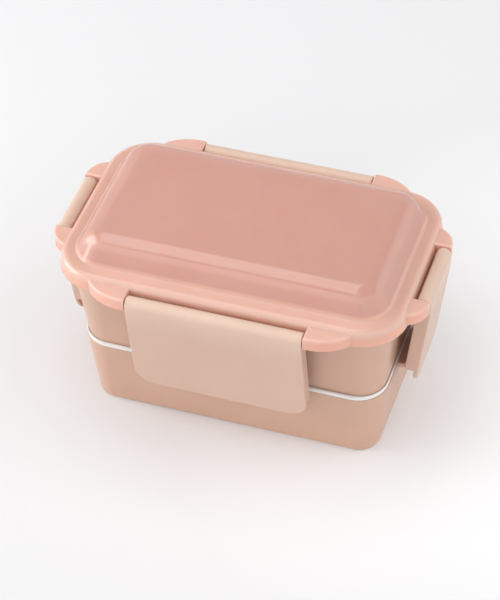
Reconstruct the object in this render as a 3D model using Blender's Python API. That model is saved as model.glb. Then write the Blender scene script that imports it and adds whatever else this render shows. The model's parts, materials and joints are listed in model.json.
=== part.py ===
"""A two-tier bento lunch box. A domed lid, held down by four hinged latches, closes the upper tier.
A white inner lid closes the lower tier, and the upper tier stands in its recess.

X runs along the box's length, -Y is its front and +Z is up. The origin is the centre of the base.
Every outline is the lid's rim outline moved inwards by an inset, so a piece that goes round the box
is a profile of (inset, height) points. An inset below zero is outside the rim.
"""

import math

import bmesh
import bpy

# Lid rim, seen from above
RIM_HALF_LENGTH = 0.0802
RIM_HALF_WIDTH = 0.04875
RIM_CORNER = 0.0209
CORNER_SHRINK = 0.9  # how much a corner's radius drops for each metre of inset
CORNER_STEPS = 8

# Heights
LOWER_TIER_TOP = 0.0376
INNER_LID_FLANGE = (0.0379, 0.0398)
UPPER_TIER_BASE = 0.0386
UPPER_TIER_TOP = 0.0830
SKIRT_BOTTOM = 0.0797
RIM_TOP = 0.0879
CROWN_TOP = 0.0998

# Tiers
WALL = 0.0018
LOWER_INSETS = (0.0118, 0.0079)  # outer wall at the base and at the top
UPPER_INSETS = (0.0091, 0.0046)  # outer wall at the base and just under the bead
LOWER_FOOT = 0.0022
UPPER_FOOT = 0.0012
FLOOR_FILLET = 0.0030
FILLET_STEPS = 4
BEAD = 0.0010
CLEARANCE = 0.0003  # between the tiers, the lids and the divider

# Lid
SHELL = 0.0017
RIM_EDGE = 0.0030
RIM_DRAFT = 0.0003
VALLEY = 0.0876  # the flat of the rim where it meets the dome
DOME_FOOT_INSET = 0.0073
DOME_FOOT = 0.0009
END_REACH = ((0.0030, 0), (0.0073, 0.0013), (0.0109, 0.00045), (0.0199, 0))
DOME_SLOPE = math.radians(64)
SHOULDER = 0.0100
SHOULDER_CENTRE = (0.0199, 0.0894)
SHOULDER_STEPS = 7
CROWN_SLOPE = math.radians(4)
CROWN_INSET = 0.0340
SKIRT_WALL = 0.0016
SKIRT_REACH = 0.0007  # how much further out the skirt's lower edge stands at the box's two ends
RIB_INSETS = (0.0073, 0.0089)
RIB_BOTTOM = 0.0809
LID_GASKET = ((0.0022, 0.0070), (0.0833, 0.0858))

# Inner lid
RECESS_INSET = 0.0088
RECESS_FLOOR = 0.0383
PLATE_UNDERSIDE = 0.0366
PLUG_INSETS = (0.0102, 0.0130)
GROOVE_INSET = 0.0116
GROOVE = (0.0334, 0.0364)
PLUG_LIP_INSET = 0.0106
FLANGE_SETBACK = 0.0006  # how much less the flange stands out at the box's two ends than along its sides
PLUG_BOTTOM = 0.0324
PLUG_GASKET = ((0.0104, 0.0113), (0.0338, 0.0360))

# Latches: each section is measured from the hinge axis, outwards and up
LATCH_HALF_LENGTHS = {"long": 0.0408, "short": 0.0176}
HINGE_OUT = 0.0046  # from the rim's edge
HINGE_HEIGHT = 0.0823
BAR_RADIUS = 0.0034
BAR_STEPS = 8
PLATE = 0.0018
LEAN_START = -0.0038
LATCH_BOTTOM = -0.0523
LEAN = 0.136
POCKET_TOP = -0.0044
POCKET_ARC = (math.radians(215), math.radians(285))
END_WALL = 0.0016
END_WALL_TOP_DEPTH = 0.0103
END_WALL_BOTTOM = -0.0423
END_WALL_DEPTH = 0.0064
END_WALL_BENDS = (0.35, 0.7)  # shares of the way from the bar to the end wall's edge
LATCH_CORNER = 0.0095
CORNER_STATIONS = (0.0005, 0.0032, 0.0070)  # more sections through the rounded corner, from the end
DRAFT = 0.0004
HOOK_FROM_END = 0.0085
HOOK_REACH = -0.0099
HOOK_HEIGHTS = (-0.0509, -0.0481)
PIN_RADIUS = 0.0013
PIN_LENGTH = 0.0019

# Ears on the rim that carry the latch pins
EAR_TOP = 0.0862
EAR_OUT = 0.0076
EAR_ROOT = -0.0008
EAR_GAP = 0.0004
EAR_ARC_STEPS = 10
SOCKET_RADIUS = 0.00155
SOCKET_DEPTH = 0.0023
EAR_ARCS = {"long": ((0.0430, -0.00775), 0.0202), "short": ((0.0185, -0.0037), 0.0115)}

# Catches on the lower tier that the hooks go under
CATCH_HEIGHTS = (0.0346, 0.0373)
CATCH_OUT = -0.0038
CATCH_ROOT = -0.0089
CATCH_FROM_END = 0.0055
CATCH_CORNER = 0.0030
CATCH_STEPS = 5

# Divider in the upper tier
DIVIDER_PLACE = 0.0220
DIVIDER = 0.0015
DIVIDER_TOP = 0.0700
DIVIDER_FOOT_HALF = 0.0045
DIVIDER_FOOT = 0.0013
DIVIDER_GAP = 0.0006

ROUND_STEPS = 16
WELD = 1e-6
SHARP = math.radians(35)

SIDES = {
    "front": ("long", (0, -1)),
    "right": ("short", (1, 0)),
    "back": ("long", (0, 1)),
    "left": ("short", (-1, 0)),
}

COLOURS = {
    "lid_pink": ((0.72, 0.36, 0.28, 1), 0.25),
    "latch_beige": ((0.70, 0.48, 0.38, 1), 0.38),
    "tier_beige": ((0.68, 0.44, 0.33, 1), 0.40),
    "inner_white": ((0.86, 0.86, 0.84, 1), 0.45),
    "silicone": ((0.88, 0.86, 0.82, 1), 0.60),
}


def clear_scene():
    for obj in list(bpy.data.objects):
        bpy.data.objects.remove(obj)


def material(name):
    """The named Principled material, made once."""
    found = bpy.data.materials.get(name)
    if found:
        return found
    colour, roughness = COLOURS[name]
    made = bpy.data.materials.new(name)
    made.use_nodes = True
    shader = made.node_tree.nodes["Principled BSDF"]
    shader.inputs["Base Color"].default_value = colour
    shader.inputs["Roughness"].default_value = roughness
    shader.inputs["Metallic"].default_value = 0
    return made


def add_object(name, bm, slot):
    """A visible object from a bmesh, welded, with its faces turned outwards."""
    bmesh.ops.remove_doubles(bm, verts=bm.verts, dist=WELD)
    bmesh.ops.recalc_face_normals(bm, faces=bm.faces)
    if bm.calc_volume(signed=True) < 0:
        bmesh.ops.reverse_faces(bm, faces=bm.faces)
    mesh = bpy.data.meshes.new(name)
    bm.to_mesh(mesh)
    bm.free()
    mesh.materials.append(material(slot))
    mesh.shade_smooth()
    mesh.set_sharp_from_angle(angle=SHARP)
    obj = bpy.data.objects.new(name, mesh)
    bpy.context.scene.collection.objects.link(obj)
    return obj


def helper(name, bm, slot):
    """A hidden object that only takes part in a Boolean."""
    obj = add_object(name, bm, slot)
    obj.hide_render = True
    obj.display_type = "WIRE"
    return obj


def combine(target, other, operation):
    boolean = target.modifiers.new(other.name, "BOOLEAN")
    boolean.operation = operation
    boolean.object = other


def arc(centre, radius, start, end, steps):
    """Points on a circle from one angle to another, both ends included."""
    angles = [start + (end - start) * i / steps for i in range(steps + 1)]
    return [(centre[0] + radius * math.cos(a), centre[1] + radius * math.sin(a)) for a in angles]


def outline(inset, end_reach=0):
    """The rim outline moved inwards, anticlockwise from the right side. Its ends may stand further out."""
    half_x = RIM_HALF_LENGTH - inset + end_reach
    half_y = RIM_HALF_WIDTH - inset
    radius = max(RIM_CORNER - CORNER_SHRINK * inset, 0.001)
    points = []
    for quarter, (sign_x, sign_y) in enumerate(((1, 1), (-1, 1), (-1, -1), (1, -1))):
        centre = (sign_x * (half_x - radius), sign_y * (half_y - radius))
        start = quarter * math.pi / 2
        points += arc(centre, radius, start, start + math.pi / 2, CORNER_STEPS)
    return points


def go_round(profile, closed, end_reach=None):
    """A solid that takes a profile of (inset, height) points round the box. An open profile's two ends
    are closed by flat faces, and a closed one makes a ring."""
    bm = bmesh.new()
    rings = []
    for inset, z in profile:
        plan = outline(inset, end_reach(inset, z) if end_reach else 0)
        rings.append([bm.verts.new((x, y, z)) for x, y in plan])
    pairs = list(zip(rings, rings[1:]))
    if closed:
        pairs.append((rings[-1], rings[0]))
    else:
        bm.faces.new(rings[0])
        bm.faces.new(rings[-1])
    for low, high in pairs:
        count = len(low)
        for i in range(count):
            j = (i + 1) % count
            bm.faces.new((low[i], low[j], high[j], high[i]))
    return bm


def rectangle_ring(insets, heights):
    (near, far), (low, high) = insets, heights
    return go_round([(near, low), (near, high), (far, high), (far, low)], closed=True)


def prism(points, low, high):
    """A solid between two heights above a plan outline."""
    bm = bmesh.new()
    base = bm.faces.new([bm.verts.new((x, y, low)) for x, y in points])
    extruded = bmesh.ops.extrude_face_region(bm, geom=[base])
    moved = [item for item in extruded["geom"] if isinstance(item, bmesh.types.BMVert)]
    bmesh.ops.translate(bm, verts=moved, vec=(0, 0, high - low))
    return bm


def rod(radius, start, end):
    """A round rod along X, on the local axis."""
    bm = bmesh.new()
    ring = arc((0, 0), radius, 0, 2 * math.pi, ROUND_STEPS)[:-1]
    base = bm.faces.new([bm.verts.new((start, y, z)) for y, z in ring])
    extruded = bmesh.ops.extrude_face_region(bm, geom=[base])
    moved = [item for item in extruded["geom"] if isinstance(item, bmesh.types.BMVert)]
    bmesh.ops.translate(bm, verts=moved, vec=(end - start, 0, 0))
    return bm


def place_on_side(obj, side, out, height):
    """Puts a local frame on one side of the box: +X along the side, -Y outwards from the rim's edge."""
    outwards = SIDES[side][1]
    obj.rotation_euler = (0, 0, math.atan2(outwards[1], outwards[0]) + math.pi / 2)
    reach_x = outwards[0] * (RIM_HALF_LENGTH + out)
    reach_y = outwards[1] * (RIM_HALF_WIDTH + out)
    obj.location = (reach_x, reach_y, height)


def tier_profile(base, top, insets, foot):
    """Up the outer wall of a tier, and how far in its wall is at any height."""
    draft = (insets[0] - insets[1]) / (top - base)

    def wall_inset(z):
        return insets[0] - (z - base) * draft

    outside = arc((insets[0] + foot, base + foot), foot, -math.pi / 2, -math.pi, FILLET_STEPS)
    return outside, wall_inset


def tier_inside(base, wall_inset, top_inset, top):
    """Down the inner wall of a tier to its floor."""
    floor = base + WALL
    corner = wall_inset(floor + FLOOR_FILLET) + WALL + FLOOR_FILLET
    centre = (corner, floor + FLOOR_FILLET)
    fillet = arc(centre, FLOOR_FILLET, math.pi, 3 * math.pi / 2, FILLET_STEPS)
    return [(top_inset, top)] + fillet


def add_lower_tier():
    outside, wall_inset = tier_profile(0, LOWER_TIER_TOP, LOWER_INSETS, LOWER_FOOT)
    rim = [(LOWER_INSETS[1], LOWER_TIER_TOP)]
    inside = tier_inside(0, wall_inset, LOWER_INSETS[1] + WALL, LOWER_TIER_TOP)
    tier = add_object("lower_tier", go_round(outside + rim + inside, closed=False), "tier_beige")
    for side, (kind, _) in SIDES.items():
        half = LATCH_HALF_LENGTHS[kind] - CATCH_FROM_END
        corner = half - CATCH_CORNER
        arc_out = -CATCH_OUT + CATCH_CORNER
        left = arc((-corner, arc_out), CATCH_CORNER, math.pi, 3 * math.pi / 2, CATCH_STEPS)
        right = arc((corner, arc_out), CATCH_CORNER, -math.pi / 2, 0, CATCH_STEPS)
        points = left + right + [(half, -CATCH_ROOT), (-half, -CATCH_ROOT)]
        catch = helper(f"catch_{side}", prism(points, *CATCH_HEIGHTS), "tier_beige")
        place_on_side(catch, side, 0, 0)
        combine(tier, catch, "UNION")
    return tier


def add_upper_tier():
    bead_start = SKIRT_BOTTOM + CLEARANCE
    outside, wall_inset = tier_profile(UPPER_TIER_BASE, bead_start, UPPER_INSETS, UPPER_FOOT)
    bead_inset = UPPER_INSETS[1] - BEAD
    rim = [
        (UPPER_INSETS[1], bead_start),
        (bead_inset, bead_start + BEAD / 2),
        (bead_inset, UPPER_TIER_TOP - BEAD / 2),
        (bead_inset + BEAD / 2, UPPER_TIER_TOP),
    ]
    inside = tier_inside(UPPER_TIER_BASE, wall_inset, UPPER_INSETS[1] + WALL, UPPER_TIER_TOP)
    add_object("upper_tier", go_round(outside + rim + inside, closed=False), "tier_beige")
    return wall_inset


def flange_end_reach(inset, _):
    return -FLANGE_SETBACK if inset < LOWER_INSETS[1] else 0


def add_inner_lid():
    low, high = INNER_LID_FLANGE
    flange = LOWER_INSETS[1] - CLEARANCE
    profile = [
        (RECESS_INSET, RECESS_FLOOR),
        (RECESS_INSET, high),
        (flange, high),
        (flange, low),
        (PLUG_INSETS[0], low),
        (PLUG_INSETS[0], GROOVE[1]),
        (GROOVE_INSET, GROOVE[1]),
        (GROOVE_INSET, GROOVE[0]),
        (PLUG_LIP_INSET, GROOVE[0]),
        (PLUG_LIP_INSET, PLUG_BOTTOM),
        (PLUG_INSETS[1], PLUG_BOTTOM),
        (PLUG_INSETS[1], PLATE_UNDERSIDE),
    ]
    add_object("inner_lid", go_round(profile, closed=False, end_reach=flange_end_reach), "inner_white")
    add_object("inner_lid_gasket", rectangle_ring(*PLUG_GASKET), "silicone")


def dome_profile(thickness):
    """From the crown out to the dome's foot, at a depth under the outer surface."""
    flat = math.pi / 2
    radius = SHOULDER - thickness
    shoulder = arc(SHOULDER_CENTRE, radius, flat + CROWN_SLOPE, flat + DOME_SLOPE, SHOULDER_STEPS)
    crown = (CROWN_INSET, CROWN_TOP - thickness)
    return [crown] + shoulder


def dome_foot():
    """The hollow fillet between the dome's wall and the flat of the rim."""
    centre = (DOME_FOOT_INSET, VALLEY + DOME_FOOT)
    return arc(centre, DOME_FOOT, DOME_SLOPE - math.pi / 2, -math.pi / 2, FILLET_STEPS)


def lid_end_reach(inset, z):
    """How much further out the dome and the skirt's foot stand at the box's ends than along its sides."""
    if inset <= SKIRT_WALL:
        return SKIRT_REACH * max(0, RIM_TOP - RIM_EDGE - z) / (RIM_TOP - RIM_EDGE - SKIRT_BOTTOM)
    if z <= RIM_TOP - SHELL or inset <= END_REACH[0][0] or inset >= END_REACH[-1][0]:
        return 0
    for (near, near_reach), (far, far_reach) in zip(END_REACH, END_REACH[1:]):
        if inset <= far:
            return near_reach + (far_reach - near_reach) * (inset - near) / (far - near)


def rim_edge():
    centre = (RIM_DRAFT + RIM_EDGE, RIM_TOP - RIM_EDGE)
    return arc(centre, RIM_EDGE, math.pi / 2, math.pi, FILLET_STEPS)


def ear_plan(kind, sign):
    """An ear seen from above, in the frame of its side: along the side, then outwards as -Y."""
    (centre_x, centre_out), reach = EAR_ARCS[kind]
    rise = EAR_OUT - centre_out
    end = math.asin((EAR_ROOT - centre_out) / rise)
    steps = [math.pi / 2 + (end - math.pi / 2) * i / EAR_ARC_STEPS for i in range(EAR_ARC_STEPS + 1)]
    curve = [(centre_x + reach * math.cos(a), -(centre_out + rise * math.sin(a))) for a in steps]
    start = LATCH_HALF_LENGTHS[kind] + EAR_GAP
    points = [(start, -EAR_ROOT), (start, -EAR_OUT)] + curve
    return [(sign * x, y) for x, y in points]


def add_lid():
    underside = [
        (SKIRT_WALL, SKIRT_BOTTOM),
        (SKIRT_WALL, RIM_TOP - SHELL),
        (RIB_INSETS[0], RIM_TOP - SHELL),
        (RIB_INSETS[0], RIB_BOTTOM),
        (RIB_INSETS[1], RIB_BOTTOM),
        (RIB_INSETS[1], RIM_TOP - SHELL),
    ]
    outside = dome_profile(0) + dome_foot() + rim_edge() + [(0, SKIRT_BOTTOM)]
    inside = list(reversed(dome_profile(SHELL)))
    shell = go_round(outside + underside + inside, closed=False, end_reach=lid_end_reach)
    lid = add_object("lid_shell", shell, "lid_pink")
    for side, (kind, _) in SIDES.items():
        half = LATCH_HALF_LENGTHS[kind] + EAR_GAP
        for hand, sign in (("a", -1), ("b", 1)):
            solid = prism(ear_plan(kind, sign), SKIRT_BOTTOM, EAR_TOP)
            ear = helper(f"ear_{side}_{hand}", solid, "lid_pink")
            place_on_side(ear, side, 0, 0)
            combine(lid, ear, "UNION")
        reach = half + SOCKET_DEPTH
        socket = helper(f"socket_{side}", rod(SOCKET_RADIUS, -reach, reach), "lid_pink")
        place_on_side(socket, side, HINGE_OUT, HINGE_HEIGHT)
        combine(lid, socket, "DIFFERENCE")
    add_object("lid_gasket", rectangle_ring(*LID_GASKET), "silicone")


def plate_out(z, depth):
    """How far out a latch's plate is at a height, at a depth under its outer face."""
    return BAR_RADIUS - depth - max(LEAN_START - z, 0) * LEAN


def latch_bottom(half, x):
    """The height of a latch's lower edge, with its rounded corners."""
    into_corner = max(abs(x) - (half - LATCH_CORNER), 0)
    return LATCH_BOTTOM + LATCH_CORNER - math.sqrt(max(LATCH_CORNER**2 - into_corner**2, 0))


def latch_section(half, x, pocket, hook):
    """The (out, height) points of a latch at one place along it. The pocket is between its end walls."""
    bar = arc((0, 0), BAR_RADIUS, 0, math.pi, BAR_STEPS)
    if pocket:
        under_bar = arc((0, 0), BAR_RADIUS, *POCKET_ARC, 2)
        inner = under_bar + [(plate_out(LEAN_START, PLATE), POCKET_TOP)]
    else:
        edge_top = (plate_out(-END_WALL_TOP_DEPTH, END_WALL_DEPTH), -END_WALL_TOP_DEPTH)
        inner = [(-BAR_RADIUS + t * (edge_top[0] + BAR_RADIUS), t * edge_top[1]) for t in END_WALL_BENDS]
        inner += [edge_top, (plate_out(END_WALL_BOTTOM, END_WALL_DEPTH), END_WALL_BOTTOM)]
    step = [(plate_out(END_WALL_BOTTOM, PLATE), END_WALL_BOTTOM)]
    bottom = latch_bottom(half, x)
    top_of_hook = max(HOOK_HEIGHTS[1], bottom)
    under_hook = max(HOOK_HEIGHTS[0], bottom)
    hooked = [(plate_out(top_of_hook, PLATE), top_of_hook), (plate_out(under_hook, PLATE), under_hook)]
    if hook:
        tip = [(HOOK_REACH, top_of_hook), (HOOK_REACH, under_hook)]
    else:
        tip = hooked
    lower = [hooked[0]] + tip + [hooked[1]]
    ends = [(plate_out(bottom, PLATE), bottom), (plate_out(bottom, 0), bottom)]
    return bar + inner + step + lower + ends + [(BAR_RADIUS, LEAN_START)]


def add_latch(side):
    kind = SIDES[side][0]
    half = LATCH_HALF_LENGTHS[kind]
    pocket_start = END_WALL + DRAFT
    hook_start = HOOK_FROM_END + DRAFT
    from_end = [0, END_WALL, pocket_start, HOOK_FROM_END, hook_start, LATCH_CORNER, *CORNER_STATIONS]
    places = [(half - reach, reach >= pocket_start, reach >= hook_start) for reach in sorted(from_end)]
    places += [(-x, pocket, hook) for x, pocket, hook in reversed(places)]
    bm = bmesh.new()
    rings = []
    for x, pocket, hook in places:
        section = latch_section(half, x, pocket, hook)
        rings.append([bm.verts.new((x, -out, z)) for out, z in section])
    for near, far in zip(rings, rings[1:]):
        for i in range(len(near)):
            j = (i + 1) % len(near)
            bm.faces.new((near[i], near[j], far[j], far[i]))
    bm.faces.new(rings[0])
    bm.faces.new(rings[-1])
    latch = add_object(f"latch_{side}", bm, "latch_beige")
    place_on_side(latch, side, HINGE_OUT, HINGE_HEIGHT)
    reach = half + PIN_LENGTH
    pins = helper(f"pins_{side}", rod(PIN_RADIUS, -reach, reach), "latch_beige")
    place_on_side(pins, side, HINGE_OUT, HINGE_HEIGHT)
    combine(latch, pins, "UNION")


def add_divider(wall_inset):
    """A thin wall across the upper tier, on a flat foot, that follows the slope of the tier's walls."""
    floor = UPPER_TIER_BASE + WALL + CLEARANCE
    foot_top = floor + DIVIDER_FOOT
    fillet_top = floor + FLOOR_FILLET
    low = RIM_HALF_WIDTH - wall_inset(fillet_top) - WALL - DIVIDER_GAP
    high = RIM_HALF_WIDTH - wall_inset(DIVIDER_TOP) - WALL - DIVIDER_GAP
    foot = low - FLOOR_FILLET
    half = DIVIDER / 2
    bm = bmesh.new()
    wall = [(foot, foot_top), (low, fillet_top), (high, DIVIDER_TOP)]
    across = wall + [(-y, z) for y, z in reversed(wall)]
    near = [bm.verts.new((-half, y, z)) for y, z in across]
    far = [bm.verts.new((half, y, z)) for y, z in across]
    bm.faces.new(near)
    bm.faces.new(far)
    for i in range(len(near) - 1):
        bm.faces.new((near[i], near[i + 1], far[i + 1], far[i]))
    base = []
    for z in (floor, foot_top):
        corners = ((-1, -1), (1, -1), (1, 1), (-1, 1))
        base.append([bm.verts.new((sx * DIVIDER_FOOT_HALF, sy * foot, z)) for sx, sy in corners])
    bm.faces.new(base[0])
    for i in range(4):
        j = (i + 1) % 4
        bm.faces.new((base[0][i], base[0][j], base[1][j], base[1][i]))
    top = base[1]
    bm.faces.new((top[0], near[-1], near[0], top[3]))
    bm.faces.new((top[1], far[-1], far[0], top[2]))
    bm.faces.new((top[0], top[1], far[-1], near[-1]))
    bm.faces.new((top[3], top[2], far[0], near[0]))
    divider = add_object("divider", bm, "inner_white")
    divider.location = (DIVIDER_PLACE, 0, 0)


def main():
    clear_scene()
    add_lower_tier()
    add_inner_lid()
    wall_inset = add_upper_tier()
    add_divider(wall_inset)
    add_lid()
    for side in SIDES:
        add_latch(side)


main()
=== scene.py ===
"""The looks of a two-tier bento lunch box, built round its CAD model.

Every outline of the box is the lid's rim outline moved inwards by an inset, so a piece that goes round the
box is a profile of (inset, height) points, and an inset below zero is outside the rim. A profile's corners
are given with their fillet radius. A latch is lofted along its hinge from sections of (out, height) points,
measured from the hinge axis. Lengths are in metres, -Y is the front and +Z is up.
"""

import json
import math
from functools import partial

import bmesh
import bpy
from mathutils import Matrix, Vector


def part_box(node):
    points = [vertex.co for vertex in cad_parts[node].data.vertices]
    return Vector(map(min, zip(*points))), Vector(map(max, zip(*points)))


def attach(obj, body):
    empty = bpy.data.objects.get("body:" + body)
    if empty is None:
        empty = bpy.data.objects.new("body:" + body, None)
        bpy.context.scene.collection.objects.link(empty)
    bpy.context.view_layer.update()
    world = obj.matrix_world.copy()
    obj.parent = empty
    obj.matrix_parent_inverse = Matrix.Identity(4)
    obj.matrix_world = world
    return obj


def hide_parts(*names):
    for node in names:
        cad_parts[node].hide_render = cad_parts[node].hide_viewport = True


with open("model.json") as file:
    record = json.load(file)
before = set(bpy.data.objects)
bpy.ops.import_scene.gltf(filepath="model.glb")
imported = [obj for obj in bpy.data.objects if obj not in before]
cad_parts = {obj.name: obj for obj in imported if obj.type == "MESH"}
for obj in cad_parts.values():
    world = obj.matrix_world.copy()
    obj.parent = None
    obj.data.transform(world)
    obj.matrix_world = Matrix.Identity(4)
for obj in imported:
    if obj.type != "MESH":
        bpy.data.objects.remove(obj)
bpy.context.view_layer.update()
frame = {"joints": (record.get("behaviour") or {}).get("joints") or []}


def heights_of(node):
    low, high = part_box(node)
    return low.z, high.z


# Sizes read from the frame
EAR_OUT = 0.0076
RIM_HALF_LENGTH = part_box("lid_shell")[1].x - EAR_OUT
RIM_HALF_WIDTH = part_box("lid_shell")[1].y - EAR_OUT
SKIRT_BOTTOM, CROWN_TOP = heights_of("lid_shell")
LOWER_TIER_TOP = heights_of("lower_tier")[1]
PLUG_BOTTOM, FLANGE_TOP = heights_of("inner_lid")
UPPER_TIER_BASE, UPPER_TIER_TOP = heights_of("upper_tier")
LID_GASKET_HEIGHTS = heights_of("lid_gasket")
PLUG_GASKET_HEIGHTS = heights_of("inner_lid_gasket")
HINGES = {joint["child"]: Vector(joint["pos_m"]) for joint in frame["joints"] if joint["type"] == "hinge"}

# Outlines
RIM_CORNER = 0.0209
CORNER_SHRINK = 0.9  # how much a corner's radius drops for each metre of inset
CORNER_STEPS = 24
FILLET_STEP = math.radians(12)

# Tiers
WALL = 0.0018
LOWER_INSETS = (0.0118, 0.0079)  # outer wall at the base and at the top
UPPER_INSETS = (0.0091, 0.0046)
LOWER_FOOT = 0.0022
UPPER_FOOT = 0.0012
FLOOR_FILLET = 0.0030
BEAD = 0.0010
TIER_LIP = 0.0005
BASE_PANEL = (0.0062, 0.0005)  # inset from the base's edge, and depth
PANEL_EDGE = 0.0002
FLAT = 0.002  # how far a flat runs inwards past its last corner before it closes as one face

# Lid
SHELL = 0.0017
RIM_TOP = 0.0879
RIM_EDGE = 0.0030
RIM_DRAFT = 0.0003
VALLEY = 0.0876  # the flat of the rim where it meets the dome
DOME_FOOT_INSET = 0.0073
DOME_FOOT = 0.0009
END_REACH = ((0.0030, 0), (0.0073, 0.0013), (0.0109, 0.00045), (0.0199, 0))
DOME_SLOPE = math.radians(64)
SHOULDER = 0.0100
SHOULDER_CENTRE = (0.0199, 0.0894)
CROWN_SLOPE = math.radians(3.2)
CROWN_STEPS = 6
SKIRT_WALL = 0.0016
SKIRT_REACH = 0.0007  # how much further out the skirt's lower edge stands at the box's two ends
RIB_INSETS = (0.0073, 0.0089)
RIB_BOTTOM = 0.0809
SMALL_EDGE = 0.0003
LID_GASKET_WIDTH = 0.0048
GASKET_EDGE = 0.0008
GASKET_EDGE_SHARE = 0.4  # the most of a gasket's width or height that one rounded edge takes
SHOULDER_STEPS = 16
DOME_FOOT_STEPS = 6

# Inner lid
RECESS_INSET = 0.0088
RECESS_FLOOR = 0.0383
PLATE_UNDERSIDE = 0.0366
PLUG_INSETS = (0.0102, 0.0130)
GROOVE_INSET = 0.0116
GROOVE = (0.0334, 0.0364)
PLUG_LIP_INSET = 0.0106
PLUG_GASKET_WIDTH = 0.0009
FLANGE_SETBACK = 0.0006  # how much less the flange stands out at the box's two ends than along its sides

# Latches
LATCH_HALF_LENGTHS = {"long": 0.0408, "short": 0.0176}
BAR_RADIUS = 0.0034
BAR_STEPS = 18
PLATE = 0.0018
LEAN = 0.136
LEAN_START = -0.0038
LEAN_BLEND = 0.0034
LATCH_BOTTOM = -0.0523
LATCH_CORNER = 0.0095
LATCH_EDGE = 0.0007
LATCH_INNER_EDGE = 0.0003
END_WALL = 0.0016
END_WALL_TOP = -0.0103
END_WALL_BOTTOM = -0.0423
END_WALL_DEPTH = 0.0064
END_WALL_CORNER = 0.0014
DRAFT = 0.0004
HOOK_FROM_END = 0.0085
HOOK_REACH = -0.0099
HOOK_HEIGHTS = (-0.0509, -0.0481)
HOOK_EDGE = 0.0003
PIN_RADIUS = 0.0013
PIN_LENGTH = 0.0019
POCKET_TOP_DROP = 0.0006  # how far the pocket's flat wall stops under the start of the lean
POCKET_ARC = (math.radians(285), math.radians(205))
POCKET_ARC_STEPS = 5
PLATE_STEPS = 12
POCKET_STEPS = 8
LATCH_EDGE_STEPS = 4
END_WALL_CORNER_STEPS = 4
END_WALL_CORNER_REACH = 3  # the corner's straight side, against its radius
# Shares of the way up the end wall, and from its top to the bar
END_WALL_UP = (0.33, 0.66, 1)
END_WALL_TO_BAR = (0.17, 0.34, 0.5, 0.66, 0.8, 0.92)
LATCH_CORNER_STATIONS = 14
LATCH_MIDDLE_STATIONS = 8

# Divider
DIVIDER = 0.0015
DIVIDER_FOOT = 0.0013
FOOT_SHARE = 0.90  # the foot's length against the wall's
DIVIDER_EDGE = 0.0005
DIVIDER_CORNER = 0.0040
TIER_SLOPE = 0.11

# Ears on the rim that carry the latch pins
EAR_TOP = 0.0862
EAR_ROOT = -0.0008
EAR_GAP = 0.0004
EAR_EDGE = 0.0010
EAR_ARC_STEPS = 28
SOCKET_RADIUS = 0.00155
SOCKET_DEPTH = 0.0023
EAR_ARCS = {"long": ((0.0430, -0.00775), 0.0202), "short": ((0.0185, -0.0037), 0.0115)}

# Catches on the lower tier
CATCH_HEIGHTS = (0.0346, 0.0373)
CATCH_OUT = -0.0038
CATCH_ROOT = -0.0089
CATCH_FROM_END = 0.0055
CATCH_CORNER = 0.0030
CATCH_EDGE = 0.0004

ROUND_STEPS = 32
WELD = 1e-6

# Each side's kind of latch, and the direction it faces
SIDES = {
    "front": ("long", (0, -1)),
    "right": ("short", (1, 0)),
    "back": ("long", (0, 1)),
    "left": ("short", (-1, 0)),
}


# Materials


def link(tree, source, target):
    tree.links.new(source, target)


def noise(tree, coordinates, scale, detail=2.0):
    node = tree.nodes.new("ShaderNodeTexNoise")
    node.inputs["Scale"].default_value = scale
    node.inputs["Detail"].default_value = detail
    link(tree, coordinates, node.inputs["Vector"])
    return node.outputs["Fac"]


def ramp(tree, factor, stops):
    """A colour ramp of (place, colour) stops."""
    node = tree.nodes.new("ShaderNodeValToRGB")
    elements = node.color_ramp.elements
    while len(elements) < len(stops):
        elements.new(0.5)
    for element, (place, colour) in zip(elements, stops):
        element.position = place
        element.color = (*colour, 1)
    link(tree, factor, node.inputs["Fac"])
    return node.outputs["Color"]


def map_range(tree, value, from_range, to_range):
    node = tree.nodes.new("ShaderNodeMapRange")
    for name, number in zip(("From Min", "From Max", "To Min", "To Max"), (*from_range, *to_range)):
        node.inputs[name].default_value = number
    link(tree, value, node.inputs["Value"])
    return node.outputs["Result"]


def multiply_colours(tree, first, second):
    node = tree.nodes.new("ShaderNodeMix")
    node.data_type = "RGBA"
    node.blend_type = "MULTIPLY"
    node.inputs["Factor"].default_value = 1
    link(tree, first, node.inputs["A"])
    link(tree, second, node.inputs["B"])
    return node.outputs["Result"]


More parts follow.
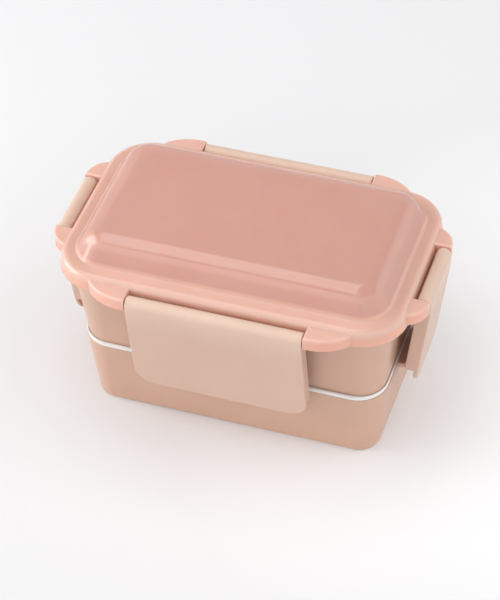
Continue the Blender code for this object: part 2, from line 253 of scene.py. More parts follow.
def moulded_plastic(name, stops, z_range, roughness, grain, relief, translucency=None, ior=1.49):
    """Moulded plastic whose colour changes with height, with faint clouding, a fine surface grain and
    slight unevenness of gloss. Translucency is (weight, depth of each colour in metres)."""
    made = bpy.data.materials.new(name)
    made.use_nodes = True
    tree = made.node_tree
    shader = tree.nodes["Principled BSDF"]
    place = tree.nodes.new("ShaderNodeTexCoord").outputs["Object"]
    split = tree.nodes.new("ShaderNodeSeparateXYZ")
    link(tree, place, split.inputs["Vector"])
    height = map_range(tree, split.outputs["Z"], z_range, (0, 1))
    colour = ramp(tree, height, stops)
    clouds = ramp(tree, noise(tree, place, 38, 3), [(0.3, (0.965, 0.955, 0.95)), (0.7, (1, 1, 1))])
    link(tree, multiply_colours(tree, colour, clouds), shader.inputs["Base Color"])
    smears = noise(tree, place, 90, 4)
    link(tree, map_range(tree, smears, (0.3, 0.7), roughness), shader.inputs["Roughness"])
    bump = tree.nodes.new("ShaderNodeBump")
    bump.inputs["Strength"].default_value = 1
    bump.inputs["Distance"].default_value = relief
    link(tree, noise(tree, place, grain, 2), bump.inputs["Height"])
    link(tree, bump.outputs["Normal"], shader.inputs["Normal"])
    shader.inputs["IOR"].default_value = ior
    shader.inputs["Metallic"].default_value = 0
    if translucency:
        weight, depths = translucency
        shader.inputs["Subsurface Weight"].default_value = weight
        shader.inputs["Subsurface Radius"].default_value = depths
        shader.inputs["Subsurface Scale"].default_value = 1
    return made


def make_materials():
    """The finishes, one for each of the record's material slots."""
    skirt = (0.82, 0.45, 0.34)
    # The lighter ear colour sits at the height of the ears' top edges and the rim's rounded outer edge. It is
    # a painted highlight on those rounded edges.
    ear = (0.82, 0.51, 0.42)
    rim = (0.80, 0.475, 0.39)
    dome = (0.66, 0.363, 0.30)
    # Colours up the lid: skirt, then the ear band of painted highlight, then rim, then dome.
    lid_stops = [
        (0, skirt), (0.20, skirt), (0.27, ear), (0.34, ear),
        (0.40, rim), (0.44, rim), (0.50, dome), (1, dome),
    ]
    return {
        "lid": moulded_plastic(
            "lid_plastic", lid_stops, (SKIRT_BOTTOM, CROWN_TOP), (0.04, 0.07), 900, 0.0000005,
            translucency=(0.5, (0.0040, 0.0016, 0.0010)), ior=1.58,
        ),
        # The latch is painted lighter towards its top bar and darker lower down: painted light on the bar and
        # upper plate.
        "latch": moulded_plastic(
            "latch_plastic", [(0, (0.68, 0.46, 0.365)), (1, (0.76, 0.56, 0.45))],
            (0.070, 0.086), (0.30, 0.38), 1500, 0.000008, translucency=(0.15, (0.0020, 0.0010, 0.0007)),
        ),
        "tier": moulded_plastic(
            "tier_plastic", [(0, (0.64, 0.40, 0.295)), (1, (0.64, 0.41, 0.31))],
            (0, UPPER_TIER_TOP), (0.30, 0.38), 1500, 0.000008, translucency=(0.15, (0.0020, 0.0010, 0.0007)),
        ),
        "inner_lid": moulded_plastic(
            "inner_lid_plastic", [(0, (0.86, 0.85, 0.83)), (1, (0.86, 0.85, 0.83))],
            (0, 1), (0.30, 0.40), 1500, 0.000006, translucency=(0.3, (0.0020, 0.0016, 0.0014)),
        ),
        "divider": moulded_plastic(
            "divider_plastic", [(0, (0.84, 0.82, 0.78)), (1, (0.84, 0.82, 0.78))],
            (0, 1), (0.35, 0.45), 1500, 0.000008, translucency=(0.5, (0.0020, 0.0016, 0.0014)),
        ),
        "gasket": moulded_plastic(
            "silicone", [(0, (0.82, 0.80, 0.76)), (1, (0.82, 0.80, 0.76))],
            (0, 1), (0.48, 0.60), 2200, 0.000010, translucency=(0.8, (0.0030, 0.0026, 0.0022)),
        ),
    }


# Shapes


def arc(centre, radius, start, end, steps):
    """Points on a circle from one angle to another, both ends included."""
    angles = [start + (end - start) * i / steps for i in range(steps + 1)]
    return [(centre[0] + radius * math.cos(a), centre[1] + radius * math.sin(a)) for a in angles]


def fillet(before, corner, after, radius):
    """The points of a rounded corner between two straight lines."""
    here = Vector(corner)
    back = (Vector(before) - here).normalized()
    ahead = (Vector(after) - here).normalized()
    half_angle = back.angle(ahead) / 2
    centre = here + (back + ahead).normalized() * (radius / math.sin(half_angle))
    first = here + back * (radius / math.tan(half_angle)) - centre
    last = here + ahead * (radius / math.tan(half_angle)) - centre
    start = math.atan2(first.y, first.x)
    turn = (math.atan2(last.y, last.x) - start + math.pi) % (2 * math.pi) - math.pi
    steps = max(2, round(abs(turn) / FILLET_STEP))
    return arc(centre, radius, start, start + turn, steps)


def filleted(corners, closed=False):
    """A line through (x, y, radius) corners, with each corner rounded by its radius."""
    points = []
    for i, (x, y, radius) in enumerate(corners):
        at_end = i in (0, len(corners) - 1) and not closed
        if at_end or radius == 0:
            points.append((x, y))
        else:
            points += fillet(corners[i - 1][:2], (x, y), corners[(i + 1) % len(corners)][:2], radius)
    return points


def outline(inset, end_reach=0):
    """The rim outline moved inwards, anticlockwise from the right. Its two ends may stand further out."""
    half_x = RIM_HALF_LENGTH - inset + end_reach
    half_y = RIM_HALF_WIDTH - inset
    radius = max(RIM_CORNER - CORNER_SHRINK * inset, 0.001)
    points = []
    for quarter, (sign_x, sign_y) in enumerate(((1, 1), (-1, 1), (-1, -1), (1, -1))):
        centre = (sign_x * (half_x - radius), sign_y * (half_y - radius))
        start = quarter * math.pi / 2
        points += arc(centre, radius, start, start + math.pi / 2, CORNER_STEPS)
    return points


def bridge(bm, near, far):
    """Faces between two closed rows of vertices."""
    count = len(near)
    for i in range(count):
        j = (i + 1) % count
        bm.faces.new((near[i], near[j], far[j], far[i]))


def go_round(profile, closed, end_reach=None):
    """A solid that takes a profile of (inset, height) points round the box."""
    bm = bmesh.new()
    rings = []
    for inset, z in profile:
        plan = outline(inset, end_reach(inset, z) if end_reach else 0)
        rings.append([bm.verts.new((x, y, z)) for x, y in plan])
    for near, far in zip(rings, rings[1:]):
        bridge(bm, near, far)
    if closed:
        bridge(bm, rings[-1], rings[0])
    else:
        bm.faces.new(rings[0])
        bm.faces.new(rings[-1])
    return bm


def inset_plan(points, distance):
    """A convex anticlockwise outline moved inwards."""
    moved = []
    for i, here in enumerate(points):
        sides = []
        for start, end in ((points[i - 1], here), (here, points[(i + 1) % len(points)])):
            along = (Vector(end) - Vector(start)).normalized()
            sides.append(Vector((-along.y, along.x)))
        mitre = (sides[0] + sides[1]) / (1 + sides[0].dot(sides[1]))
        moved.append(tuple(Vector(here) + mitre * distance))
    return moved


def prism(outline_at, low, high, lower_edge, upper_edge):
    """A solid between two heights with its edges rounded. The outline is given for each inset."""
    corners = [
        (2 * lower_edge, low, 0),
        (0, low, lower_edge),
        (0, high, upper_edge),
        (2 * upper_edge, high, 0),
    ]
    rings = []
    bm = bmesh.new()
    for inset, z in filleted(corners)[1:-1]:
        rings.append([bm.verts.new((x, y, z)) for x, y in outline_at(inset)])
    for near, far in zip(rings, rings[1:]):
        bridge(bm, near, far)
    bm.faces.new(rings[0])
    bm.faces.new(rings[-1])
    return bm


def rod(radius, start, end):
    """A round rod along the local X axis."""
    bm = bmesh.new()
    rings = []
    for x in (start, end):
        ring = arc((0, 0), radius, 0, 2 * math.pi, ROUND_STEPS)[:-1]
        rings.append([bm.verts.new((x, y, z)) for y, z in ring])
    bridge(bm, *rings)
    bm.faces.new(rings[0])
    bm.faces.new(rings[1])
    return bm


def to_side(bm, side, place):
    """Turns a local shape, with +X along the side and -Y outwards, to face one side, and moves it."""
    outwards = SIDES[side][1]
    turn = math.atan2(outwards[1], outwards[0]) + math.pi / 2
    matrix = Matrix.Translation(place) @ Matrix.Rotation(turn, 4, "Z")
    bmesh.ops.transform(bm, matrix=matrix, verts=bm.verts)
    return bm


def edge_of(side):
    """The middle of the rim's edge on one side, at the height of the base."""
    outwards = SIDES[side][1]
    return Vector((outwards[0] * RIM_HALF_LENGTH, outwards[1] * RIM_HALF_WIDTH, 0))


def new_object(name, bm):
    """An object from a bmesh, welded, with its faces turned outwards."""
    bmesh.ops.remove_doubles(bm, verts=bm.verts, dist=WELD)
    bmesh.ops.recalc_face_normals(bm, faces=bm.faces)
    if bm.calc_volume(signed=True) < 0:
        bmesh.ops.reverse_faces(bm, faces=bm.faces)
    mesh = bpy.data.meshes.new(name)
    bm.to_mesh(mesh)
    bm.free()
    obj = bpy.data.objects.new(name, mesh)
    bpy.context.scene.collection.objects.link(obj)
    return obj


def combine(target, tools, operation):
    """Cuts or joins the tools' shapes to the target, and removes them."""
    for tool in tools:
        boolean = target.modifiers.new(tool.name, "BOOLEAN")
        boolean.operation = operation
        boolean.solver = "MANIFOLD"
        boolean.object = tool
    graph = bpy.context.evaluated_depsgraph_get()
    result = bpy.data.meshes.new_from_object(target.evaluated_get(graph))
    target.modifiers.clear()
    target.data = result
    for tool in tools:
        bpy.data.objects.remove(tool)


def finish_piece(obj, body, nodes, slot):
    """Smooth shading, the slot's finish, and the piece's place in the assembly."""
    obj.data.shade_smooth()
    obj.data.set_sharp_from_angle(angle=math.radians(40))
    weighted = obj.modifiers.new("weighted_normals", "WEIGHTED_NORMAL")
    weighted.keep_sharp = True
    obj.data.materials.clear()
    obj.data.materials.append(MATERIALS[slot])
    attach(obj, body)
    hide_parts(*nodes)
    return obj


# Tiers


def tier_profile(base, top, insets, foot, lip, extra):
    """A tier's wall and floor. Extra holds the corners between the straight outer wall and the lip."""
    draft = (insets[0] - insets[1]) / (top - base)

    def wall_inset(z):
        return insets[0] - (z - base) * draft

    floor = base + WALL
    inner_top = insets[1] + WALL
    panel_inset, panel_depth = BASE_PANEL
    panel = insets[0] + panel_inset
    return filleted(
        [
            (panel + 2 * PANEL_EDGE, base + panel_depth, 0),
            (panel, base + panel_depth, PANEL_EDGE),
            (panel, base, PANEL_EDGE),
            (insets[0], base, foot),
        ]
        + extra
        + [
            (inner_top, lip, TIER_LIP),
            (wall_inset(floor) + WALL, floor, FLOOR_FILLET),
            (wall_inset(floor) + WALL + 2 * FLOOR_FILLET, floor, 0),
        ]
    )


def catch_plan(kind):
    """A catch seen from above, in the frame of its side."""
    half = LATCH_HALF_LENGTHS[kind] - CATCH_FROM_END
    corners = [
        (half, -CATCH_ROOT, 0),
        (-half, -CATCH_ROOT, 0),
        (-half, -CATCH_OUT, CATCH_CORNER),
        (half, -CATCH_OUT, CATCH_CORNER),
    ]
    return filleted(corners, closed=True)


def add_lower_tier():
    rim = [(LOWER_INSETS[1], LOWER_TIER_TOP, TIER_LIP)]
    profile = tier_profile(0, LOWER_TIER_TOP, LOWER_INSETS, LOWER_FOOT, LOWER_TIER_TOP, rim)
    tier = new_object("lower_food_tier", go_round(profile, closed=False))
    catches = []
    for side, (kind, _) in SIDES.items():
        catch = prism(partial(inset_plan, catch_plan(kind)), *CATCH_HEIGHTS, CATCH_EDGE, CATCH_EDGE)
        catches.append(new_object(f"catch_{side}", to_side(catch, side, edge_of(side))))
    combine(tier, catches, "UNION")
    return finish_piece(tier, "lower_tier", ["lower_tier"], "tier")


def add_upper_tier():
    bead_start = SKIRT_BOTTOM + SMALL_EDGE
    bead_inset = UPPER_INSETS[1] - BEAD
    rim = [
        (UPPER_INSETS[1], bead_start, SMALL_EDGE),
        (bead_inset, bead_start + BEAD / 2, SMALL_EDGE),
        (bead_inset, UPPER_TIER_TOP, BEAD / 2),
    ]
    profile = tier_profile(
        UPPER_TIER_BASE, bead_start, UPPER_INSETS, UPPER_FOOT, UPPER_TIER_TOP, rim
    )
    tier = new_object("upper_food_tier", go_round(profile, closed=False))
    return finish_piece(tier, "upper_tier", ["upper_tier"], "tier")


# Inner lid


def flange_end_reach(inset, _):
    return -FLANGE_SETBACK if inset < LOWER_INSETS[1] + SMALL_EDGE else 0


def add_inner_lid():
    flange_low = LOWER_TIER_TOP + SMALL_EDGE
    flange = LOWER_INSETS[1] - SMALL_EDGE
    corners = [
        (RECESS_INSET + FLAT, RECESS_FLOOR, 0),
        (RECESS_INSET, RECESS_FLOOR, SMALL_EDGE),
        (RECESS_INSET, FLANGE_TOP, SMALL_EDGE / 2),
        (flange, FLANGE_TOP, SMALL_EDGE),
        (flange, flange_low, SMALL_EDGE),
        (PLUG_INSETS[0], flange_low, 0),
        (PLUG_INSETS[0], GROOVE[1], 0),
        (GROOVE_INSET, GROOVE[1], 0),
        (GROOVE_INSET, GROOVE[0], 0),
        (PLUG_LIP_INSET, GROOVE[0], 0),
        (PLUG_LIP_INSET, PLUG_BOTTOM, SMALL_EDGE),
        (PLUG_INSETS[1], PLUG_BOTTOM, SMALL_EDGE),
        (PLUG_INSETS[1], PLATE_UNDERSIDE, SMALL_EDGE),
        (PLUG_INSETS[1] + FLAT, PLATE_UNDERSIDE, 0),
    ]
    lid = new_object("white_inner_lid", go_round(filleted(corners), closed=False, end_reach=flange_end_reach))
    return finish_piece(lid, "inner_lid", ["inner_lid"], "inner_lid")


def add_gasket(name, node, body, width, heights):
    """A soft ring with rounded edges."""
    near = RIM_HALF_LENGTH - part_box(node)[1].x
    far = near + width
    low, high = heights
    edge = min(GASKET_EDGE, GASKET_EDGE_SHARE * width, GASKET_EDGE_SHARE * (high - low))
    corners = [(near, low, edge), (near, high, edge), (far, high, edge), (far, low, edge)]
    ring = new_object(name, go_round(filleted(corners, closed=True), closed=True))
    return finish_piece(ring, body, [node], "gasket")


# Divider


def add_divider():
    """A thin wall on a flat foot, narrower at the foot as the tier's walls are."""
    low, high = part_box("divider")
    middle = (low.x + high.x) / 2
    foot_half_length = FOOT_SHARE * high.y
    foot_half_width = (high.x - low.x) / 2
    foot_plan = [(-foot_half_width, -1), (foot_half_width, -1), (foot_half_width, 1), (-foot_half_width, 1)]
    foot_plan = [(middle + x, y * foot_half_length) for x, y in foot_plan]
    foot = prism(partial(inset_plan, foot_plan), low.z, low.z + DIVIDER_FOOT, SMALL_EDGE, SMALL_EDGE)
    lower_half = high.y - (high.z - low.z) * TIER_SLOPE
    corners = [
        (-foot_half_length, low.z + SMALL_EDGE, 0),
        (foot_half_length, low.z + SMALL_EDGE, FLOOR_FILLET),
        (lower_half, low.z + FLOOR_FILLET, 0),
        (high.y, high.z, DIVIDER_CORNER),
        (-high.y, high.z, DIVIDER_CORNER),
        (-lower_half, low.z + FLOOR_FILLET, 0),
    ]
    half = DIVIDER / 2
    wall = prism(partial(inset_plan, filleted(corners, closed=True)), -half, half, DIVIDER_EDGE, DIVIDER_EDGE)
    upright = Matrix(((0, 0, 1, middle), (1, 0, 0, 0), (0, 1, 0, 0), (0, 0, 0, 1)))
    bmesh.ops.transform(wall, matrix=upright, verts=wall.verts)
    divider = new_object("food_divider", wall)
    combine(divider, [new_object("divider_foot", foot)], "UNION")
    return finish_piece(divider, "divider", ["divider"], "divider")


# Lid


def dome_profile(depth):
    """From the crown out to the dome's foot, at a depth under the outer surface."""
    radius = SHOULDER - depth
    quarter = math.pi / 2
    shoulder = arc(SHOULDER_CENTRE, radius, quarter + CROWN_SLOPE, quarter + DOME_SLOPE, SHOULDER_STEPS)
    start_inset, start_height = shoulder[0]
    rise = CROWN_TOP - depth - start_height
    reach = 2 * rise / math.tan(CROWN_SLOPE)
    crown = []
    for i in range(CROWN_STEPS):
        left = 1 - i / CROWN_STEPS
        crown.append((start_inset + reach * left, CROWN_TOP - depth - rise * (1 - left) ** 2))
    return crown + shoulder


def dome_foot():
    """The hollow fillet between the dome's wall and the flat of the rim."""
    centre = (DOME_FOOT_INSET, VALLEY + DOME_FOOT)
    return arc(centre, DOME_FOOT, DOME_SLOPE - math.pi / 2, -math.pi / 2, DOME_FOOT_STEPS)


def lid_end_reach(inset, z):
    """How much further out the dome and the skirt's lower edge stand at the two ends than along the sides."""
    if inset <= SKIRT_WALL:
        return SKIRT_REACH * max(0, RIM_TOP - RIM_EDGE - z) / (RIM_TOP - RIM_EDGE - SKIRT_BOTTOM)
    if z <= RIM_TOP - SHELL or inset <= END_REACH[0][0] or inset >= END_REACH[-1][0]:
        return 0
    for (near, near_reach), (far, far_reach) in zip(END_REACH, END_REACH[1:]):
        if inset <= far:
            return near_reach + (far_reach - near_reach) * (inset - near) / (far - near)


def lid_profile():
    under = RIM_TOP - SHELL
    rim_and_underside = filleted(
        [
            (DOME_FOOT_INSET, VALLEY, 0),
            (RIM_DRAFT, RIM_TOP, RIM_EDGE),
            (0, SKIRT_BOTTOM, SMALL_EDGE),
            (SKIRT_WALL, SKIRT_BOTTOM, SMALL_EDGE),
            (SKIRT_WALL, under, SMALL_EDGE),
            (RIB_INSETS[0], under, SMALL_EDGE),
            (RIB_INSETS[0], RIB_BOTTOM, SMALL_EDGE),
            (RIB_INSETS[1], RIB_BOTTOM, SMALL_EDGE),
            (RIB_INSETS[1], under, 0),
        ]
    )
    inside = list(reversed(dome_profile(SHELL)))
    return dome_profile(0) + dome_foot() + rim_and_underside[1:] + inside


def ear_plan(kind, sign, inset):
    """An ear seen from above, along its side and then outwards as -Y. The inset leaves its root in place."""
    (centre_x, centre_out), reach = EAR_ARCS[kind]
    rise = EAR_OUT - centre_out - inset
    reach -= inset
    start = LATCH_HALF_LENGTHS[kind] + EAR_GAP + inset
    first = math.acos((start - centre_x) / reach)
    last = math.asin((EAR_ROOT - centre_out) / rise)
    steps = [first + (last - first) * i / EAR_ARC_STEPS for i in range(EAR_ARC_STEPS + 1)]
    points = [(start, -EAR_ROOT)]
    points += [(centre_x + reach * math.cos(a), -(centre_out + rise * math.sin(a))) for a in steps]
    if sign < 0:
        points.reverse()
    return [(sign * x, y) for x, y in points]


def add_lid():
    lid = new_object("domed_lid", go_round(lid_profile(), closed=False, end_reach=lid_end_reach))
    ears, sockets = [], []
    for side, (kind, _) in SIDES.items():
        for hand, sign in (("a", -1), ("b", 1)):
            ear = prism(partial(ear_plan, kind, sign), SKIRT_BOTTOM, EAR_TOP, SMALL_EDGE, EAR_EDGE)
            ears.append(new_object(f"ear_{side}_{hand}", to_side(ear, side, edge_of(side))))
        reach = LATCH_HALF_LENGTHS[kind] + EAR_GAP + SOCKET_DEPTH
        socket = to_side(rod(SOCKET_RADIUS, -reach, reach), side, HINGES[f"latch_{side}"])
        sockets.append(new_object(f"socket_{side}", socket))
    combine(lid, ears, "UNION")
    combine(lid, sockets, "DIFFERENCE")
    return finish_piece(lid, "lid", ["lid_shell"], "lid")


# Latches


def plate_out(z, depth):
    """How far out the plate is at a height, at a depth under its outer face. The lean starts gently."""
    below = LEAN_START + LEAN_BLEND - z
    if below <= 0:
        lean = 0
    elif below < 2 * LEAN_BLEND:
        lean = LEAN * below**2 / (4 * LEAN_BLEND)
    else:
        lean = LEAN * (below - LEAN_BLEND)
    return BAR_RADIUS - depth - lean


def rounding(distance, radius):
    """How deep a rounded edge lies at a distance from the outline."""
    if distance >= radius:
        return 0
    return radius - math.sqrt(radius**2 - (radius - max(distance, 0)) ** 2)


def edge_distances(radius, steps):
    """Distances from the outline that divide a rounded edge evenly, from its inner limit to the outline."""
    return [radius * (1 - math.cos(math.pi / 2 * (1 - i / steps))) for i in range(steps + 1)]


def latch_section(half, x, pocket, hook):
    """The closed (out, height) section of a latch at one place along it."""
    into_corner = max(abs(x) - (half - LATCH_CORNER), 0)
    corner_top = LATCH_BOTTOM + LATCH_CORNER

    def outline_distance(z):
        return LATCH_CORNER - math.hypot(into_corner, max(corner_top - z, 0))

    def lower_edge(distance):
        return corner_top - math.sqrt(max((LATCH_CORNER - distance) ** 2 - into_corner**2, 0))

    def outer(z):
        return (plate_out(z, rounding(outline_distance(z), LATCH_EDGE)), z)

    round_end = rounding(half - abs(x), LATCH_EDGE)
    bar = arc((0, 0), BAR_RADIUS - round_end, math.pi, 0, BAR_STEPS)
    plate_heights = [corner_top * i / PLATE_STEPS for i in range(1, PLATE_STEPS + 1)]
    edge_heights = [lower_edge(d) for d in edge_distances(LATCH_EDGE, LATCH_EDGE_STEPS)]
    points = bar + [outer(z) for z in plate_heights] + [outer(z) for z in edge_heights]

    bottom = edge_heights[-1]
    inner_depth = PLATE - round_end
    points.append((plate_out(bottom, PLATE - LATCH_INNER_EDGE), bottom))
    above = bottom + LATCH_INNER_EDGE
    under_hook = max(HOOK_HEIGHTS[0], above)
    over_hook = max(HOOK_HEIGHTS[1], above)
    points.append((plate_out(above, inner_depth), above))
    points.append((plate_out(under_hook, inner_depth), under_hook))
    if hook:
        points.append((HOOK_REACH + HOOK_EDGE, under_hook))
        points.append((HOOK_REACH, under_hook + HOOK_EDGE))
        points.append((HOOK_REACH, over_hook - HOOK_EDGE))
        points.append((HOOK_REACH + HOOK_EDGE, over_hook))
    else:
        points += [(plate_out(under_hook, inner_depth), under_hook)] * 2
        points += [(plate_out(over_hook, inner_depth), over_hook)] * 2
    points.append((plate_out(over_hook, inner_depth), over_hook))

    wall_end = END_WALL_BOTTOM
    points.append((plate_out(wall_end, inner_depth), wall_end))
    if pocket:
        pocket_rise = LEAN_START - POCKET_TOP_DROP - wall_end
        steps = [wall_end + pocket_rise * i / POCKET_STEPS for i in range(1, POCKET_STEPS + 1)]
        points += [(plate_out(z, PLATE), z) for z in steps]
        points += arc((0, 0), BAR_RADIUS, *POCKET_ARC, POCKET_ARC_STEPS)
    else:
        deep = END_WALL_DEPTH - round_end
        corner = (plate_out(wall_end, deep), wall_end)
        below = (plate_out(wall_end, inner_depth), wall_end)
        side_end = wall_end + END_WALL_CORNER * END_WALL_CORNER_REACH
        turned = fillet(below, corner, (plate_out(side_end, deep), side_end), END_WALL_CORNER)
        last = len(turned) - 1
        kept = [round(i * last / END_WALL_CORNER_STEPS) for i in range(END_WALL_CORNER_STEPS + 1)]
        points += [turned[i] for i in kept]
        inner_bar = -(BAR_RADIUS - round_end)
        top = (plate_out(END_WALL_TOP, deep), END_WALL_TOP)
        low = turned[-1]
        points += [(low[0] + (top[0] - low[0]) * t, low[1] + (top[1] - low[1]) * t) for t in END_WALL_UP]
        points += [(top[0] + (inner_bar - top[0]) * t, top[1] * (1 - t)) for t in END_WALL_TO_BAR]
    return points


def latch_stations(half):
    """Places along a latch, as (x, inside the pocket, on the hook), from one end to the other."""
    pocket_start = END_WALL + DRAFT
    hook_start = HOOK_FROM_END + DRAFT
    corner_turns = [math.pi / 2 * i / LATCH_CORNER_STATIONS for i in range(LATCH_CORNER_STATIONS + 1)]
    middle = half - LATCH_CORNER
    distances = {END_WALL, pocket_start, HOOK_FROM_END, hook_start}
    distances |= set(edge_distances(LATCH_EDGE, LATCH_EDGE_STEPS))
    distances |= {LATCH_CORNER * (1 - math.sin(turn)) for turn in corner_turns}
    distances |= {half - middle * i / LATCH_MIDDLE_STATIONS for i in range(LATCH_MIDDLE_STATIONS)}
    one_end = [(half - d, d >= pocket_start, d >= hook_start) for d in sorted(distances)]
    other_end = [(-x, pocket, hook) for x, pocket, hook in reversed(one_end)]
    return one_end + [(0, True, True)] + other_end


def add_latch(side):
    half = LATCH_HALF_LENGTHS[SIDES[side][0]]
    bm = bmesh.new()
    rings = []
    for x, pocket, hook in latch_stations(half):
        section = latch_section(half, x, pocket, hook)
        rings.append([bm.verts.new((x, -out, z)) for out, z in section])
    for near, far in zip(rings, rings[1:]):
        bridge(bm, near, far)
    bm.faces.new(rings[0])
    bm.faces.new(rings[-1])
    hinge = HINGES[f"latch_{side}"]
    latch = new_object(f"{side}_latch", to_side(bm, side, hinge))
    reach = half + PIN_LENGTH
    pins = new_object(f"pins_{side}", to_side(rod(PIN_RADIUS, -reach, reach), side, hinge))
    combine(latch, [pins], "UNION")
    return finish_piece(latch, f"latch_{side}", [f"latch_{side}"], "latch")


# Studio

SENSOR_WIDTH = 36
AZIMUTH = math.radians(20.04)
ELEVATION = math.radians(44.10)
ROLL = math.radians(-2.35)
DISTANCE = 1.1181
LENS = 145.08
AIM_HEIGHT = 0.04247
AIM_RIGHT = -0.002265
AIM_UP = 0.002275

BOX_MIDDLE = (0, 0, 0.08)
FLOOR_SIZE = 6
FLOOR_TINTS = ((0.79, 0.79, 0.805), (0.81, 0.81, 0.82))
# A painted pool of light on the floor at the box's right: the floor itself glows there to lift the box's
# shadow. Its centre, and its strength at two distances from there
POOL_CENTRE = (0.17, 0.03, 0)
POOL_REACH = (0.03, 0.21)
POOL_LIGHT = (0.23, 0.02)
# Light of the room's walls, by the height of the direction they are seen in, from 0 level to 1 overhead
WALL_STRENGTH = 2
LOW_WALLS = [(0.54, 0.30), (0.58, 0.06)]
RIGHT_WALL = [(0.50, 0.55), (0.60, 0)]
RIGHT_WALL_EDGE = (0.15, 0.45)
FRONT_WALL = [(0.10, 0.20), (0.50, 0.64), (0.76, 0.64), (0.80, 0)]
FRONT_WALL_EDGE = (-0.20, 0.10)


def add_camera():
    back = Vector(
        (
            math.sin(AZIMUTH) * math.cos(ELEVATION),
            -math.cos(AZIMUTH) * math.cos(ELEVATION),
            math.sin(ELEVATION),
        )
    )
    level = Vector((math.cos(AZIMUTH), math.sin(AZIMUTH), 0))
    upright = back.cross(level)
    right = level * math.cos(ROLL) + upright * math.sin(ROLL)
    up = upright * math.cos(ROLL) - level * math.sin(ROLL)
    target = Vector((0, 0, AIM_HEIGHT)) + right * AIM_RIGHT + up * AIM_UP
    data = bpy.data.cameras.new("camera")
    data.lens = LENS
    data.sensor_width = SENSOR_WIDTH
    camera = bpy.data.objects.new("camera", data)
    axes = Matrix((right, up, back)).transposed().to_4x4()
    camera.matrix_world = Matrix.Translation(target + back * DISTANCE) @ axes
    bpy.context.scene.collection.objects.link(camera)
    bpy.context.scene.camera = camera


def add_floor():
    bm = bmesh.new()
    bmesh.ops.create_grid(bm, x_segments=1, y_segments=1, size=FLOOR_SIZE)
    mesh = bpy.data.meshes.new("floor")
    bm.to_mesh(mesh)
    bm.free()
    floor = bpy.data.objects.new("floor", mesh)
    bpy.context.scene.collection.objects.link(floor)
    made = bpy.data.materials.new("floor_paper")
    made.use_nodes = True
    tree = made.node_tree
    shader = tree.nodes["Principled BSDF"]
    place = tree.nodes.new("ShaderNodeTexCoord").outputs["Object"]
    tint = ramp(tree, noise(tree, place, 3, 2), [(0.3, FLOOR_TINTS[0]), (0.7, FLOOR_TINTS[1])])
    link(tree, tint, shader.inputs["Base Color"])
    # Painted light: the floor glows round POOL_CENTRE, fading with distance, which lightens the box's shadow
    # on its right.
    offset = tree.nodes.new("ShaderNodeVectorMath")
    offset.operation = "DISTANCE"
    link(tree, place, offset.inputs[0])
    offset.inputs[1].default_value = POOL_CENTRE
    painted_light_pool = map_range(tree, offset.outputs["Value"], POOL_REACH, POOL_LIGHT)
    shader.inputs["Emission Color"].default_value = (1, 1, 1, 1)
    link(tree, painted_light_pool, shader.inputs["Emission Strength"])
    shader.inputs["Roughness"].default_value = 0.7
    shader.inputs["IOR"].default_value = 1.3
    mesh.materials.append(made)


def add_softbox(name, place, aim, size, power, mirrored=True, lighting=True):
    """A rectangular light. One that isn't mirrored doesn't show in gloss, and one that isn't lighting shows
    only there."""
    data = bpy.data.lights.new(name, "AREA")
    data.shape = "RECTANGLE"
    data.size, data.size_y = size
    data.energy = power
    light = bpy.data.objects.new(name, data)
    light.location = place
    light.rotation_euler = (Vector(aim) - Vector(place)).to_track_quat("-Z", "Y").to_euler()
    light.visible_glossy = mirrored
    light.visible_diffuse = lighting
    bpy.context.scene.collection.objects.link(light)


def combine_values(tree, operation, first, second):
    node = tree.nodes.new("ShaderNodeMath")
    node.operation = operation
    link(tree, first, node.inputs[0])
    link(tree, second, node.inputs[1])
    return node.outputs["Value"]


def grey_ramp(tree, factor, stops):
    return ramp(tree, factor, [(place, (grey, grey, grey)) for place, grey in stops])


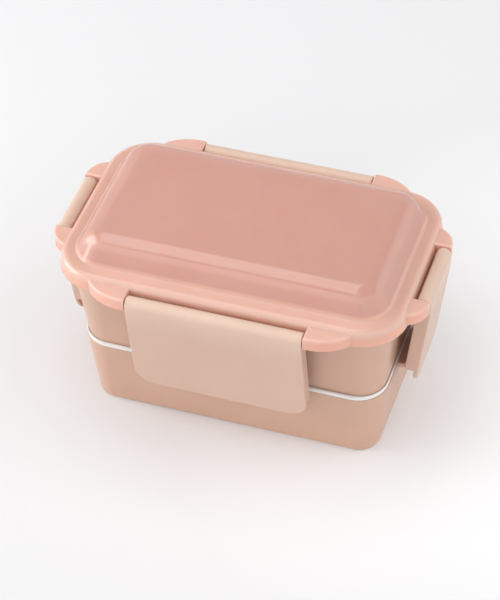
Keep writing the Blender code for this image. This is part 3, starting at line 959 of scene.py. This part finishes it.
def add_room():
    """A dim room with low white walls all round, a brighter one on the right, and a bright wall in front
    that is dim near the floor and reaches up to the edge of the overhead light."""
    world = bpy.data.worlds.new("studio")
    world.use_nodes = True
    tree = world.node_tree
    direction = tree.nodes.new("ShaderNodeTexCoord").outputs["Generated"]
    split = tree.nodes.new("ShaderNodeSeparateXYZ")
    link(tree, direction, split.inputs["Vector"])
    across, along, height = (split.outputs[axis] for axis in "XYZ")
    low_walls = grey_ramp(tree, height, LOW_WALLS)
    right_side = map_range(tree, across, RIGHT_WALL_EDGE, (0, 1))
    right_wall = combine_values(tree, "MULTIPLY", grey_ramp(tree, height, RIGHT_WALL), right_side)
    front_side = map_range(tree, along, FRONT_WALL_EDGE, (1, 0))
    front_wall = combine_values(tree, "MULTIPLY", grey_ramp(tree, height, FRONT_WALL), front_side)
    walls = combine_values(tree, "MAXIMUM", right_wall, front_wall)
    background = tree.nodes["Background"]
    link(tree, combine_values(tree, "MAXIMUM", low_walls, walls), background.inputs["Color"])
    background.inputs["Strength"].default_value = WALL_STRENGTH
    bpy.context.scene.world = world


def add_studio():
    bpy.context.scene.view_settings.view_transform = "Standard"
    add_room()
    add_floor()
    add_softbox("overhead", place=(-0.34, 0.03, 1.30), aim=(-0.34, 0.03, 0), size=(0.70, 1.26), power=4.9)
    add_softbox(
        "overhead_fill", place=(0.46, 0.12, 1.30), aim=(0.46, 0.12, 0), size=(1.2, 1.2), power=3.6,
        mirrored=False,
    )
    add_softbox("left", place=(-1.10, -0.26, 0.52), aim=BOX_MIDDLE, size=(0.80, 0.95), power=7.8)
    add_softbox(
        "left_card", place=(-1.25, -0.25, 0.48), aim=BOX_MIDDLE, size=(1.80, 0.95), power=4.5, lighting=False
    )
    add_softbox(
        "right_fill", place=(1.30, 0.30, 1.20), aim=(0, 0, 0), size=(1.0, 1.0), power=3.6, mirrored=False
    )
    add_camera()


MATERIALS = make_materials()
add_lower_tier()
add_inner_lid()
add_gasket("inner_lid_seal", "inner_lid_gasket", "inner_lid", PLUG_GASKET_WIDTH, PLUG_GASKET_HEIGHTS)
add_upper_tier()
add_divider()
add_lid()
add_gasket("lid_seal", "lid_gasket", "lid", LID_GASKET_WIDTH, LID_GASKET_HEIGHTS)
for side in SIDES:
    add_latch(side)
add_studio()
